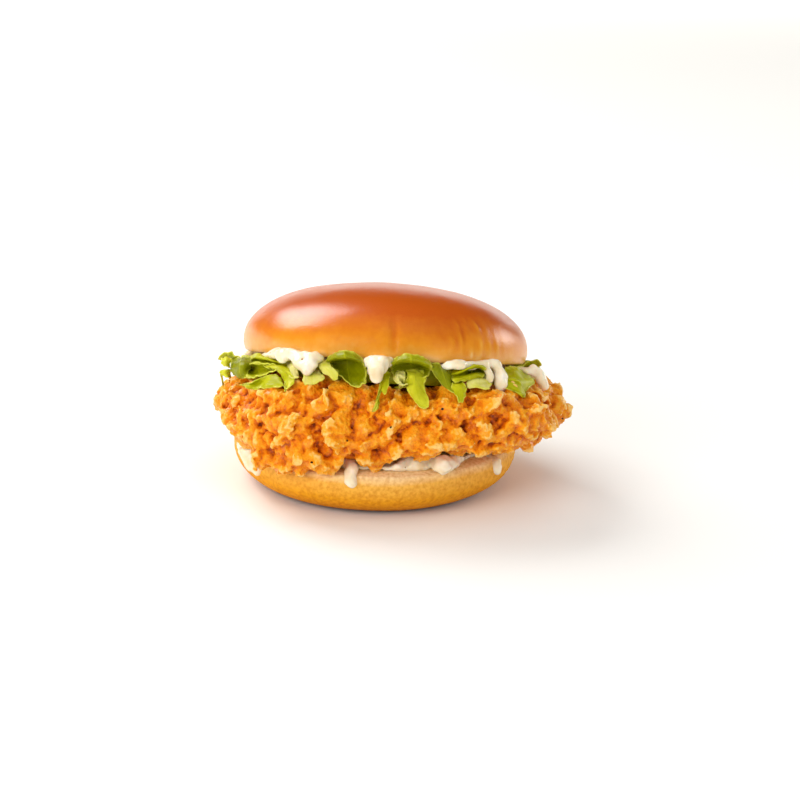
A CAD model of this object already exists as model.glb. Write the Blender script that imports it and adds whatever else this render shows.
# %% [markdown]
# A crispy chicken sandwich
#
# The real thing is a soft egg-glazed bun, cut across, with a craggy fried fillet that is longer than the bread,
# torn lettuce and a thick cream sauce above and below the meat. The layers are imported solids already. This
# lesson puts the real surface on each of them: baked dough, fried crust, wet sauce and crisp leaves. Every
# surface is built at its true size in metres, around the same solids.

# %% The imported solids
import itertools
import math

import bmesh
import bpy
import numpy as np
from mathutils import Euler, Matrix, Vector, noise
from mathutils.bvhtree import BVHTree


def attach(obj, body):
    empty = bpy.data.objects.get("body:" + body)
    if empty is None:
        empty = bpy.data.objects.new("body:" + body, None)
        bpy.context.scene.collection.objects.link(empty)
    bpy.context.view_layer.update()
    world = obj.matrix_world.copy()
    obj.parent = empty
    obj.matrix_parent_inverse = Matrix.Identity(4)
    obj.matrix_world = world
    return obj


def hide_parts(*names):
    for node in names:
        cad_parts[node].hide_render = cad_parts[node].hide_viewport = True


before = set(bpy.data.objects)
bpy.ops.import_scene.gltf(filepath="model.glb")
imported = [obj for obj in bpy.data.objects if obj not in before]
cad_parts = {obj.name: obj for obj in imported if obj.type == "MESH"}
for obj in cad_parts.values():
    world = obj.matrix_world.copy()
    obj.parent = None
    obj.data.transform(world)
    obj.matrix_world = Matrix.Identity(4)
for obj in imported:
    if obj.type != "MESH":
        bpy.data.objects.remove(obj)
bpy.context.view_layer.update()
MM = 0.001
print("nodes:", sorted(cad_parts))

# %% [markdown]
# The camera
#
# The sandwich is seen from a little above, from about a metre away through a long lens. A long lens keeps the
# layers nearly parallel, which is how food is usually shown. The camera is set up first, because each surface
# is judged through it. A small roll makes the layers fall a little to the right.

# %% Camera
ELEVATION = math.radians(18.5)
ROLL = math.radians(2.35)
DISTANCE = 1.0
VIEW_WIDTH = 0.3012
ORIGIN_OFFSET = Vector((0.01017, 0.02748))
SENSOR_WIDTH = 36.0

back = Vector((0, -math.cos(ELEVATION), math.sin(ELEVATION)))
level_right = Vector((1, 0, 0))
level_up = back.cross(level_right)
right = level_right * math.cos(ROLL) + level_up * math.sin(ROLL)
up = level_up * math.cos(ROLL) - level_right * math.sin(ROLL)
camera = bpy.data.objects.new("camera", bpy.data.cameras.new("camera"))
bpy.context.scene.collection.objects.link(camera)
camera.data.sensor_width = SENSOR_WIDTH
camera.data.lens = SENSOR_WIDTH * DISTANCE / VIEW_WIDTH
EYE = right * ORIGIN_OFFSET.x + up * ORIGIN_OFFSET.y + back * DISTANCE
camera.location = EYE
camera.rotation_mode = "QUATERNION"
camera.rotation_quaternion = Matrix((right, up, back)).transposed().to_quaternion()
bpy.context.scene.camera = camera
print("lens", round(camera.data.lens, 1), "mm")

# %% [markdown]
# Light
#
# Food is lit with large soft boxes. A glossy bun shows each of them as a patch of glare, so only three are seen
# in reflections: one high at the left, a low one at the right and a low wide one behind, which draws the pale
# band along the top. The surround and a box overhead fill the shadows without adding glare. The Standard view
# keeps the colours as they are set, which a film-like view would grey.

# %% Soft boxes, surround and floor
bpy.context.scene.view_settings.view_transform = "Standard"
AIM = (0.0, 0.0, 0.04)


def soft_box(name, place, size, power, tint=(1.0, 1.0, 1.0), glare=True):
    """A rectangular area light that looks at the sandwich."""
    data = bpy.data.lights.new(name, "AREA")
    data.shape = "RECTANGLE"
    data.size, data.size_y = size
    data.energy = power
    data.color = tint
    obj = bpy.data.objects.new(name, data)
    obj.location = place
    obj.rotation_euler = (Vector(AIM) - Vector(place)).to_track_quat("-Z", "Y").to_euler()
    obj.visible_glossy = glare
    bpy.context.scene.collection.objects.link(obj)
    return obj


soft_box("key_left", (-0.64, 0.46, 0.74), (0.80, 0.55), 9.5, (1.0, 0.98, 0.95))
soft_box("side_right", (0.85, 0.60, 0.26), (0.46, 0.36), 2.4, (1.0, 0.98, 0.92))
soft_box("rim_back", (-0.05, 1.15, 0.13), (1.2, 0.16), 1.4, (1.0, 0.98, 0.90))
soft_box("front_left", (-0.60, -0.80, 0.50), (0.7, 0.5), 6.5, (1.0, 0.97, 0.93), glare=False)
soft_box("front_right", (0.80, -0.70, 0.40), (0.5, 0.5), 1.9, glare=False)
soft_box("overhead", (0.1, -0.1, 1.1), (0.8, 0.8), 1.6, glare=False)
world = bpy.data.worlds.new("surround")
world.use_nodes = True
world.node_tree.nodes["Background"].inputs["Color"].default_value = (1.0, 0.99, 0.97, 1.0)
world.node_tree.nodes["Background"].inputs["Strength"].default_value = 0.42
world.cycles_visibility.glossy = False
bpy.context.scene.world = world

# %% [markdown]
# Colours and nodes
#
# Colours are picked as hex values, as a screen shows them, and one function turns them to the linear values
# that Blender works in. One more function adds a node with its settings and links. It reads each input as
# either a number to set or another node's socket to link.

# %% Helpers for materials
def colour(code):
    """A linear colour from an sRGB hex code."""
    values = [int(code[i:i + 2], 16) / 255 for i in (1, 3, 5)]
    return (*[v / 12.92 if v <= 0.04045 else ((v + 0.055) / 1.055) ** 2.4 for v in values], 1.0)


def add(tree, kind, inputs=None, stops=None, **settings):
    """A new node with its settings, its inputs by name or number, and its ramp stops where it has them."""
    node = tree.nodes.new(kind)
    for key, value in settings.items():
        setattr(node, key, value)
    for key, value in (inputs or {}).items():
        if isinstance(value, bpy.types.NodeSocket):
            tree.links.new(value, node.inputs[key])
        else:
            node.inputs[key].default_value = value
    if stops:
        elements = node.color_ramp.elements
        while len(elements) < len(stops):
            elements.new(0.5)
        for element, (place, code) in zip(elements, stops):
            element.position = place
            element.color = colour(code)
    return node


def new_material(name, **values):
    """A material with one Principled shader, and the values of its sockets."""
    made = bpy.data.materials.new(name)
    made.use_nodes = True
    shader = made.node_tree.nodes["Principled BSDF"]
    for key, value in values.items():
        shader.inputs[key.replace("_", " ")].default_value = value
    return made, made.node_tree, shader


# %% [markdown]
# The floor
#
# A plain pale sheet, wide enough that the camera never sees its edge. It isn't part of the sandwich, so it is
# marked as stage.

# %% Floor
pale_sheet, _, _ = new_material("pale matte sheet", Base_Color=colour("#f4f3f1"), Roughness=0.9)
bpy.ops.mesh.primitive_plane_add(size=6.0)
floor = bpy.context.object
floor.name = "floor"
floor.data.materials.append(pale_sheet)

# %% [markdown]
# Meshes
#
# A few helpers serve every piece. One fuses whatever overlaps into a single skin with a voxel remesh, one
# thins a mesh, one smooths points with NumPy, and one hands a finished piece to the frame: it rides on the
# one body, stands for its solid and takes its finish from the record's slot.

# %% Helpers for meshes
def piece_from(bm, name):
    """A new object from a bmesh, which is freed."""
    mesh = bpy.data.meshes.new(name)
    bm.to_mesh(mesh)
    bm.free()
    obj = bpy.data.objects.new(name, mesh)
    bpy.context.scene.collection.objects.link(obj)
    return obj


def applied(obj):
    """The object's mesh with its modifiers applied."""
    bpy.context.view_layer.update()
    graph = bpy.context.evaluated_depsgraph_get()
    mesh = bpy.data.meshes.new_from_object(obj.evaluated_get(graph))
    obj.modifiers.clear()
    obj.data = mesh
    return obj


def fused(obj, voxel):
    """One skin over everything that the mesh holds."""
    fuse = obj.modifiers.new("fuse", "REMESH")
    fuse.mode = "VOXEL"
    fuse.voxel_size = voxel
    return applied(obj)


def thinned(obj, triangles):
    """The mesh with about this many triangles at most."""
    held = sum(len(face.vertices) - 2 for face in obj.data.polygons)
    if held > triangles:
        thin = obj.modifiers.new("thin", "DECIMATE")
        thin.ratio = triangles / held
        applied(obj)
    return obj


def points_of(mesh):
    """The mesh's points as rows of a NumPy array."""
    flat = np.empty(3 * len(mesh.vertices))
    mesh.vertices.foreach_get("co", flat)
    return flat.reshape(-1, 3)


def normals_of(mesh):
    """The mesh's point normals as rows of a NumPy array."""
    flat = np.empty(3 * len(mesh.vertices))
    mesh.vertices.foreach_get("normal", flat)
    return flat.reshape(-1, 3)


def set_points(mesh, points):
    mesh.vertices.foreach_set("co", points.ravel())
    mesh.update()


def neighbour_mean(mesh):
    """A function that averages a value over each point's neighbours."""
    ends = np.empty(2 * len(mesh.edges), dtype=np.int64)
    mesh.edges.foreach_get("vertices", ends)
    a, b = ends[0::2], ends[1::2]
    count = np.bincount(a, minlength=len(mesh.vertices)) + np.bincount(b, minlength=len(mesh.vertices))

    def mean(values):
        total = np.stack([
            np.bincount(a, values[:, k][b], len(values)) + np.bincount(b, values[:, k][a], len(values))
            for k in range(values.shape[1])
        ], axis=1)
        return total / np.maximum(count, 1)[:, None]

    return mean


def softened(obj, rounds, share=0.5):
    """The mesh with its points drawn towards their neighbours."""
    points, mean = points_of(obj.data), neighbour_mean(obj.data)
    for _ in range(rounds):
        points = points + share * (mean(points) - points)
    set_points(obj.data, points)
    return obj


def set_attribute(mesh, name, values):
    """A number on each point, which a material or a node tree can read."""
    layer = mesh.attributes.get(name) or mesh.attributes.new(name, "FLOAT", "POINT")
    layer.data.foreach_set("value", np.ascontiguousarray(values, dtype=np.float32))


def finished(obj, material, slot, *nodes):
    """Hands a piece to the frame: its material, its body, its slot and the solids that it stands for."""
    obj.data.materials.clear()
    obj.data.materials.append(material)
    obj.data.shade_smooth()
    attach(obj, "root")
    if nodes:
        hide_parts(*nodes)
    triangles = sum(len(face.vertices) - 2 for face in obj.data.polygons)
    print(obj.name, triangles, "triangles")
    return obj


def smooth_step(low, high, value):
    share = np.clip((value - low) / (high - low), 0.0, 1.0)
    return share * share * (3 - 2 * share)


def tree_of(obj):
    """A search tree of the object's faces."""
    faces = [tuple(face.vertices) for face in obj.data.polygons]
    return BVHTree.FromPolygons([v.co for v in obj.data.vertices], faces)


def pushed_clear(point, tree, clearance):
    """The point moved the shortest way until it's this far outside the tree's solid."""
    nearest, normal, _, distance = tree.find_nearest(point)
    away = point - nearest
    inside = away.dot(normal) < 0
    if not inside and distance >= clearance:
        return point
    direction = -away if inside else away
    if direction.length < 1e-7:
        direction = normal
    return nearest + direction.normalized() * clearance


# %% [markdown]
# The bun's shape
#
# A round bun is turned dough, so each half starts as a profile turned about its axis. The baked shape isn't a
# perfect circle: the outline wanders by half a millimetre, and the skin has soft dents. The crown is tilted
# back on the fillet, so a matrix takes its own axes to the sandwich's.

# %% Turned halves
BUN_RADIUS = 52.5 * MM
HEEL_HEIGHT = 17.5 * MM
HEEL_BASE_RADIUS = 35.5 * MM
HEEL_WIDEST_HEIGHT = 11.5 * MM
HEEL_CUT_RADIUS = 50.5 * MM
CROWN_DOME = 23.4 * MM
CROWN_SKIRT = 4.2 * MM
CROWN_FULLNESS = 0.92
CROWN_CUT_RADIUS = 51.2 * MM
CROWN_PLACE = Matrix.Translation((3.0 * MM, 8.0 * MM, 43.6 * MM)) @ Euler(
    (math.radians(-16.0), math.radians(0.5), 0.0)
).to_matrix().to_4x4()
TURN_STEPS = 224


def arc(centre_r, centre_z, radius_r, radius_z, start, end, steps):
    """Points on an elliptical arc in the (r, z) plane, with angles in degrees from +r."""
    angles = [math.radians(start + (end - start) * i / steps) for i in range(steps + 1)]
    return [(centre_r + radius_r * math.cos(a), centre_z + radius_z * math.sin(a)) for a in angles]


def crown_profile():
    dome = []
    for r, z in arc(0.0, 0.0, 1.0, 1.0, 90, 0, 72):
        wide, high = max(0.0, r) ** CROWN_FULLNESS, max(0.0, z) ** CROWN_FULLNESS
        dome.append((wide * BUN_RADIUS, CROWN_SKIRT + high * CROWN_DOME))
    dome[0] = (0.0, CROWN_SKIRT + CROWN_DOME)
    skirt = arc(CROWN_CUT_RADIUS, CROWN_SKIRT, BUN_RADIUS - CROWN_CUT_RADIUS, CROWN_SKIRT, -8, -90, 12)
    cut = [(CROWN_CUT_RADIUS * (1 - i / 10), 0.0) for i in range(1, 10)]
    return [*dome, *skirt, *cut, (0.0, 0.0)]


def heel_profile():
    cut = [(HEEL_CUT_RADIUS * i / 12, HEEL_HEIGHT) for i in range(12)]
    shoulder = 0.92 * (HEEL_HEIGHT - HEEL_WIDEST_HEIGHT)
    upper = arc(HEEL_CUT_RADIUS, HEEL_WIDEST_HEIGHT, BUN_RADIUS - HEEL_CUT_RADIUS, shoulder, 80, 0, 14)
    belly = BUN_RADIUS - HEEL_BASE_RADIUS
    lower = arc(HEEL_BASE_RADIUS, HEEL_WIDEST_HEIGHT, belly, HEEL_WIDEST_HEIGHT, -3, -90, 44)
    base = [(HEEL_BASE_RADIUS * (1 - i / 6), 0.0) for i in range(1, 6)]
    return [*cut, *upper, *lower, *base, (0.0, 0.0)]


def turned(name, profile):
    """The profile turned about Z into a closed body."""
    mesh = bpy.data.meshes.new(name)
    mesh.from_pydata([(r, 0.0, z) for r, z in profile], [(i, i + 1) for i in range(len(profile) - 1)], [])
    obj = bpy.data.objects.new(name, mesh)
    bpy.context.scene.collection.objects.link(obj)
    turn = obj.modifiers.new("turn", "SCREW")
    turn.steps = turn.render_steps = TURN_STEPS
    turn.use_merge_vertices = True
    turn.merge_threshold = 0.01 * MM
    return applied(obj)


def unevenness(angle, phase):
    """How far a baked bun's outline departs from a circle."""
    wander = 0.010 * np.sin(2 * angle + phase) + 0.006 * np.sin(3 * angle + 2.1 * phase)
    return wander + 0.004 * np.sin(5 * angle)


def noise_at(points, scale, seed=0.0):
    """Soft noise at each point, with features of about `scale` metres."""
    return np.array([noise.noise(Vector(p) / scale + Vector((seed, 0, 0))) for p in points])


# %% [markdown]
# The crown
#
# The skin of a glazed bun wrinkles where it shrank while it cooled. A short crease stands at the front, and
# fine upright wrinkles at the front right. They are real relief: a band of sine waves in the turning angle,
# limited to one patch and broken up with noise. The attribute "rise" keeps each point's height over the cut
# face, because the glaze browns with height.

# %% Crown mesh
crown = turned("crown", crown_profile())
points = points_of(crown.data)
angle = np.arctan2(points[:, 1], points[:, 0])
from_front = np.degrees(np.arctan2(points[:, 0], -points[:, 1]))
height = points[:, 2] / (CROWN_SKIRT + CROWN_DOME)
swell = unevenness(angle, 2.2)
points[:, 0] *= 1 + swell
points[:, 1] *= 1 + swell
skin = smooth_step(0.02, 0.12, height)


def patch(centre, width, low, high):
    """1 in one patch of the side, fading to 0 round it."""
    return np.exp(-(((from_front - centre) / width) ** 2)) * smooth_step(low, low + 0.1, height) * (
        1 - smooth_step(high - 0.2, high, height)
    )


wobble = noise_at(points, 9 * MM, 4.0)
fine_wobble = noise_at(points, 4 * MM, 8.0)
crease = -0.85 * MM * patch(3.0, 1.3, 0.05, 0.60)
waves = np.sin(np.radians(from_front) * 74 + 2.6 * wobble)
wrinkles = 0.46 * MM * waves * patch(38.0, 13.0, 0.04, 0.66) * (0.5 + fine_wobble)
side_wrinkles = 0.10 * MM * np.sin(np.radians(from_front) * 60 + 3 * wobble) * patch(-150.0, 30.0, 0.05, 0.5)
dents = 0.45 * MM * noise_at(points, 24 * MM, 1.0) + 0.10 * MM * wobble
relief = (crease + wrinkles + side_wrinkles + dents) * skin
outward = points / np.maximum(np.linalg.norm(points, axis=1), 1e-6)[:, None]
points += outward * relief[:, None]
set_points(crown.data, points)
set_attribute(crown.data, "rise", height - (0.12 * crease + 0.40 * wrinkles) * skin / MM)
crown.data.transform(CROWN_PLACE)
print("crown rings turned at", TURN_STEPS, "steps")

# %% [markdown]
# Glazed crust
#
# Egg wash on brioche dough, baked: a brown skin that is darkest on the shoulder, golden near the cut and
# glossy all over. The colour follows "rise" with some noise, so that the edge between gold and brown isn't a
# line. The gloss is a coat over a half-rough base, because the glaze is smooth but the dough under it isn't.

# %% Glazed crust material
glazed_crust, tree, shader = new_material(
    "egg-glazed brioche crust", Roughness=0.50, IOR=1.45, Specular_IOR_Level=0.06, Coat_Weight=0.8,
    Coat_Roughness=0.24, Coat_IOR=1.75,
)
place = add(tree, "ShaderNodeTexCoord")
rise = add(tree, "ShaderNodeAttribute", attribute_name="rise")
clouds = add(tree, "ShaderNodeTexNoise", {"Vector": place.outputs["Object"], "Scale": 38.0, "Detail": 5.0})
mottle = add(tree, "ShaderNodeTexNoise", {"Vector": place.outputs["Object"], "Scale": 420.0, "Detail": 3.0})
shift = add(tree, "ShaderNodeMath", {0: clouds.outputs["Fac"], 1: 0.42, 2: -0.21}, operation="MULTIPLY_ADD")
fine = add(tree, "ShaderNodeMath", {0: mottle.outputs["Fac"], 1: 0.16, 2: -0.08}, operation="MULTIPLY_ADD")
level = add(tree, "ShaderNodeMath", {0: rise.outputs["Fac"], 1: shift.outputs[0]}, operation="ADD")
level = add(tree, "ShaderNodeMath", {0: level.outputs[0], 1: fine.outputs[0]}, operation="ADD")
browning = add(tree, "ShaderNodeValToRGB", {"Fac": level.outputs[0]}, stops=(
    (0.00, "#f2bd6a"), (0.07, "#eea63a"), (0.20, "#e68f14"), (0.38, "#d57206"), (0.60, "#c25402"),
    (1.00, "#bd5002"),
))
tree.links.new(browning.outputs["Color"], shader.inputs["Base Color"])
pores = add(tree, "ShaderNodeTexNoise", {"Vector": place.outputs["Object"], "Scale": 1400.0, "Detail": 2.0})
bump = add(tree, "ShaderNodeBump", {"Strength": 0.22, "Distance": 0.0004, "Height": pores.outputs["Fac"]})
tree.links.new(bump.outputs["Normal"], shader.inputs["Normal"])
tree.links.new(bump.outputs["Normal"], shader.inputs["Coat Normal"])
finished(crown, glazed_crust, "glazed_crown", "bun_crown")

# %% [markdown]
# The heel
#
# The lower half is matte. Its side is fine-pored where the dough touched the tin, with a darker line where it
# rested on the hot plate, and a pale rim where the knife went through. The dimples are relief in the mesh,
# about two millimetres across, and stronger at the right.

# %% Heel mesh
heel = turned("heel", heel_profile())
points = points_of(heel.data)
angle = np.arctan2(points[:, 1], points[:, 0])
from_front = np.degrees(np.arctan2(points[:, 0], -points[:, 1]))
side = smooth_step(0.9 * MM, 1.6 * MM, points[:, 2])
swell = unevenness(angle, 0.6) * side
points[:, 0] *= 1 + swell
points[:, 1] *= 1 + swell
dimples = np.abs(noise_at(points, 2.0 * MM, 2.0)) * (0.35 + 0.65 * smooth_step(5.0, 40.0, from_front))
soft = noise_at(points, 16 * MM, 5.0)
outward = points * np.array([1, 1, 0.0])
outward /= np.maximum(np.linalg.norm(outward, axis=1), 1e-6)[:, None]
belly = side * smooth_step(38 * MM, 46 * MM, np.hypot(points[:, 0], points[:, 1]))
points += outward * ((0.40 * MM * soft - 0.62 * MM * dimples) * belly)[:, None]
set_points(heel.data, points)
print("heel", len(points), "points")

# %% Baked heel material
baked_heel, tree, shader = new_material(
    "matte baked brioche", Roughness=0.75, IOR=1.4, Specular_IOR_Level=0.15
)
shader.inputs["Subsurface Weight"].default_value = 0.08
shader.inputs["Subsurface Radius"].default_value = (1.0, 0.5, 0.2)
shader.inputs["Subsurface Scale"].default_value = 0.002
place = add(tree, "ShaderNodeTexCoord")
split = add(tree, "ShaderNodeSeparateXYZ", {0: place.outputs["Object"]})
clouds = add(tree, "ShaderNodeTexNoise", {"Vector": place.outputs["Object"], "Scale": 60.0, "Detail": 4.0})
mottle = add(tree, "ShaderNodeTexNoise", {"Vector": place.outputs["Object"], "Scale": 700.0, "Detail": 3.0})
level = add(tree, "ShaderNodeMath", {0: split.outputs["Z"], 1: 1 / HEEL_HEIGHT}, operation="MULTIPLY")
shift = add(tree, "ShaderNodeMath", {0: clouds.outputs["Fac"], 1: 0.16, 2: -0.08}, operation="MULTIPLY_ADD")
level = add(tree, "ShaderNodeMath", {0: level.outputs[0], 1: shift.outputs[0]}, operation="ADD")
baking = add(tree, "ShaderNodeValToRGB", {"Fac": level.outputs[0]}, stops=(
    (0.00, "#6e3204"), (0.06, "#a85c0a"), (0.13, "#d98a10"), (0.45, "#e9a21e"), (0.80, "#f0b650"),
    (0.97, "#f5d6a2"),
))
speckle = add(
    tree, "ShaderNodeValToRGB", {"Fac": mottle.outputs["Fac"]}, stops=((0.30, "#d0a868"), (0.62, "#ffffff"))
)
toned = add(
    tree, "ShaderNodeMix", {0: 0.55, 6: baking.outputs["Color"], 7: speckle.outputs["Color"]},
    data_type="RGBA", blend_type="MULTIPLY",
)
tree.links.new(toned.outputs[2], shader.inputs["Base Color"])
crumb = add(tree, "ShaderNodeTexNoise", {"Vector": place.outputs["Object"], "Scale": 1100.0, "Detail": 4.0})
bump = add(tree, "ShaderNodeBump", {"Strength": 0.35, "Distance": 0.0005, "Height": crumb.outputs["Fac"]})
tree.links.new(bump.outputs["Normal"], shader.inputs["Normal"])
finished(heel, baked_heel, "baked_heel", "bun_heel")

# %% [markdown]
# The fried crust
#
# Flour dredged on wet meat and fried breaks into clumps, nodules and flakes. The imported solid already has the
# large lumps. Geometry Nodes scatter smaller ones over them in two passes, coarse and fine, and a voxel
# remesh after each pass fuses them into one skin, as batter does. The tree ends in Realize Instances and Set
# Material. Its modifier is applied before the frame sees the piece.

# %% Tree that scatters nodules
def nodule_tree():
    """Knobbly grains spread over a surface, with their spacing and size as inputs."""
    made = bpy.data.node_groups.new("crust nodules", "GeometryNodeTree")
    face = made.interface
    face.new_socket("Geometry", in_out="INPUT", socket_type="NodeSocketGeometry")
    face.new_socket("Spacing", in_out="INPUT", socket_type="NodeSocketFloat")
    face.new_socket("Density", in_out="INPUT", socket_type="NodeSocketFloat")
    face.new_socket("Smallest", in_out="INPUT", socket_type="NodeSocketVector")
    face.new_socket("Largest", in_out="INPUT", socket_type="NodeSocketVector")
    face.new_socket("Lean", in_out="INPUT", socket_type="NodeSocketFloat")
    face.new_socket("Roughening", in_out="INPUT", socket_type="NodeSocketFloat")
    face.new_socket("Roundness", in_out="INPUT", socket_type="NodeSocketInt")
    face.new_socket("Seed", in_out="INPUT", socket_type="NodeSocketInt")
    face.new_socket("Material", in_out="INPUT", socket_type="NodeSocketMaterial")
    face.new_socket("Keep surface", in_out="INPUT", socket_type="NodeSocketBool")
    face.new_socket("Geometry", in_out="OUTPUT", socket_type="NodeSocketGeometry")
    given = add(made, "NodeGroupInput")
    shown = add(made, "GeometryNodeInputNamedAttribute", {"Name": "shows"}, data_type="FLOAT")
    spread = add(made, "GeometryNodeDistributePointsOnFaces", {
        "Mesh": given.outputs["Geometry"], "Distance Min": given.outputs["Spacing"],
        "Density Max": given.outputs["Density"], "Density Factor": shown.outputs["Attribute"],
        "Seed": given.outputs["Seed"],
    }, distribute_method="POISSON")
    grain = add(
        made, "GeometryNodeMeshIcoSphere", {"Radius": 1.0, "Subdivisions": given.outputs["Roundness"]}
    )
    size = add(made, "FunctionNodeRandomValue", {
        0: given.outputs["Smallest"], 1: given.outputs["Largest"], "Seed": given.outputs["Seed"],
    }, data_type="FLOAT_VECTOR")
    most = add(made, "ShaderNodeCombineXYZ", {0: given.outputs["Lean"], 1: given.outputs["Lean"], 2: math.pi})
    least = add(made, "ShaderNodeVectorMath", {0: most.outputs[0], "Scale": -1.0}, operation="SCALE")
    spin = add(
        made, "FunctionNodeRandomValue", {0: least.outputs[0], 1: most.outputs[0]}, data_type="FLOAT_VECTOR"
    )
    turn = add(made, "FunctionNodeEulerToRotation", {0: spin.outputs[0]})
    lie = add(made, "FunctionNodeRotateRotation", {
        "Rotation": spread.outputs["Rotation"], "Rotate By": turn.outputs[0],
    }, rotation_space="LOCAL")
    copies = add(made, "GeometryNodeInstanceOnPoints", {
        "Points": spread.outputs["Points"], "Instance": grain.outputs["Mesh"],
        "Rotation": lie.outputs[0], "Scale": size.outputs[0],
    })
    real = add(made, "GeometryNodeRealizeInstances", {0: copies.outputs[0]})
    rough = add(made, "ShaderNodeTexNoise", {"Scale": 280.0, "Detail": 2.0})
    level = add(
        made, "ShaderNodeVectorMath", {0: rough.outputs["Color"], 1: (0.5, 0.5, 0.5)}, operation="SUBTRACT"
    )
    shove = add(
        made, "ShaderNodeVectorMath", {0: level.outputs[0], "Scale": given.outputs["Roughening"]},
        operation="SCALE"
    )
    real = add(made, "GeometryNodeSetPosition", {"Geometry": real.outputs[0], "Offset": shove.outputs[0]})
    join = add(made, "GeometryNodeJoinGeometry")
    made.links.new(real.outputs[0], join.inputs[0])
    made.links.new(given.outputs["Geometry"], join.inputs[0])
    pick = add(made, "GeometryNodeSwitch", {
        "Switch": given.outputs["Keep surface"], "False": real.outputs[0], "True": join.outputs[0],
    }, input_type="GEOMETRY")
    dressed = add(
        made, "GeometryNodeSetMaterial", {"Geometry": pick.outputs[0], "Material": given.outputs["Material"]}
    )
    result = add(made, "NodeGroupOutput")
    made.links.new(dressed.outputs[0], result.inputs[0])
    return made


NODULES = nodule_tree()


def scattered(obj, material, **values):
    """Runs the tree over the object and applies it. The inputs are set by their identifiers."""
    run = obj.modifiers.new("scatter", "NODES")
    run.node_group = NODULES
    wanted = {"Material": material, **{key.replace("_", " "): value for key, value in values.items()}}
    for item in NODULES.interface.items_tree:
        if item.in_out == "INPUT" and item.name in wanted:
            run[item.identifier] = wanted[item.name]
    return applied(obj)


print("scatter tree has", len(NODULES.nodes), "nodes")

# %% [markdown]
# Fried crust as a material
#
# Deep-fried flour crust: blond on its tips, where it browns last, and deep orange-brown in its crevices. The
# colour reads "crag", which says how far a point stands out of its surroundings. A film of oil makes small
# bright spots, so the coat comes and goes with noise. Specks of pepper are rare dark cells.

# %% Fried crust material
fried_crust, tree, shader = new_material(
    "deep-fried flour crust", Roughness=0.50, IOR=1.40, Specular_IOR_Level=0.3, Coat_Roughness=0.22,
    Coat_IOR=1.45,
)
shader.inputs["Subsurface Weight"].default_value = 0.10
shader.inputs["Subsurface Radius"].default_value = (1.0, 0.45, 0.15)
shader.inputs["Subsurface Scale"].default_value = 0.0015
place = add(tree, "ShaderNodeTexCoord")
crag = add(tree, "ShaderNodeAttribute", attribute_name="crag")
clouds = add(tree, "ShaderNodeTexNoise", {"Vector": place.outputs["Object"], "Scale": 95.0, "Detail": 4.0})
grit = add(tree, "ShaderNodeTexNoise", {"Vector": place.outputs["Object"], "Scale": 900.0, "Detail": 4.0})
shift = add(tree, "ShaderNodeMath", {0: clouds.outputs["Fac"], 1: 0.34, 2: -0.17}, operation="MULTIPLY_ADD")
fine = add(tree, "ShaderNodeMath", {0: grit.outputs["Fac"], 1: 0.46, 2: -0.23}, operation="MULTIPLY_ADD")
level = add(tree, "ShaderNodeMath", {0: crag.outputs["Fac"], 1: shift.outputs[0]}, operation="ADD")
level = add(tree, "ShaderNodeMath", {0: level.outputs[0], 1: fine.outputs[0]}, operation="ADD")
frying = add(tree, "ShaderNodeValToRGB", {"Fac": level.outputs[0]}, stops=(
    (0.03, "#6a2601"), (0.18, "#ac4801"), (0.34, "#dc7001"), (0.52, "#ee8b05"), (0.74, "#f7a61c"),
    (0.95, "#fccb74"),
))
cells = add(tree, "ShaderNodeTexVoronoi", {"Vector": place.outputs["Object"], "Scale": 330.0})
spot = add(tree, "ShaderNodeMath", {0: cells.outputs["Distance"], 1: 0.17}, operation="LESS_THAN")
pick = add(tree, "ShaderNodeSeparateColor", {0: cells.outputs["Color"]})
rare = add(tree, "ShaderNodeMath", {0: pick.outputs[0], 1: 0.955}, operation="GREATER_THAN")
pepper = add(tree, "ShaderNodeMath", {0: spot.outputs[0], 1: rare.outputs[0]}, operation="MULTIPLY")
speckled = add(
    tree, "ShaderNodeMix", {0: pepper.outputs[0], 6: frying.outputs["Color"], 7: colour("#1d130b")},
    data_type="RGBA",
)
tree.links.new(speckled.outputs[2], shader.inputs["Base Color"])
oil = add(tree, "ShaderNodeTexNoise", {"Vector": place.outputs["Object"], "Scale": 240.0, "Detail": 2.0})
film = add(
    tree, "ShaderNodeMapRange",
    {"Value": oil.outputs["Fac"], "From Min": 0.46, "From Max": 0.62, "To Max": 0.7}
)
tree.links.new(film.outputs[0], shader.inputs["Coat Weight"])
grains = add(tree, "ShaderNodeTexVoronoi", {"Vector": place.outputs["Object"], "Scale": 950.0})
rough = add(
    tree, "ShaderNodeMath", {0: grains.outputs["Distance"], 1: -0.8, 2: grit.outputs["Fac"]},
    operation="MULTIPLY_ADD"
)
bump = add(tree, "ShaderNodeBump", {"Strength": 0.9, "Distance": 0.0005, "Height": rough.outputs[0]})
tree.links.new(bump.outputs["Normal"], shader.inputs["Normal"])

# %% [markdown]
# Building the crust
#
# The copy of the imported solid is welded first, because packed triangles are loose. The coarse pass adds lumps
# of four to eleven millimetres, close enough to leave no gaps. Voronoi cells then cut narrow crevices between
# clumps, and the fine pass adds grains of one to two millimetres. Only what shows between the halves of the bun
# gets them: the attribute "shows" is nought under the bread.

# %% Crust mesh
def welded_copy(node, name):
    bm = bmesh.new()
    bm.from_mesh(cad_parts[node].data)
    bmesh.ops.remove_doubles(bm, verts=bm.verts, dist=0.002 * MM)
    bmesh.ops.recalc_face_normals(bm, faces=bm.faces)
    return piece_from(bm, name)


def mark_shown(obj):
    """1 where the fillet shows between the halves of the bun, and 0 under the bread."""
    spots = points_of(obj.data)
    out = np.hypot(spots[:, 0] - 2 * MM, spots[:, 1])
    set_attribute(obj.data, "shows", smooth_step(40 * MM, 43 * MM, out))


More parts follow.
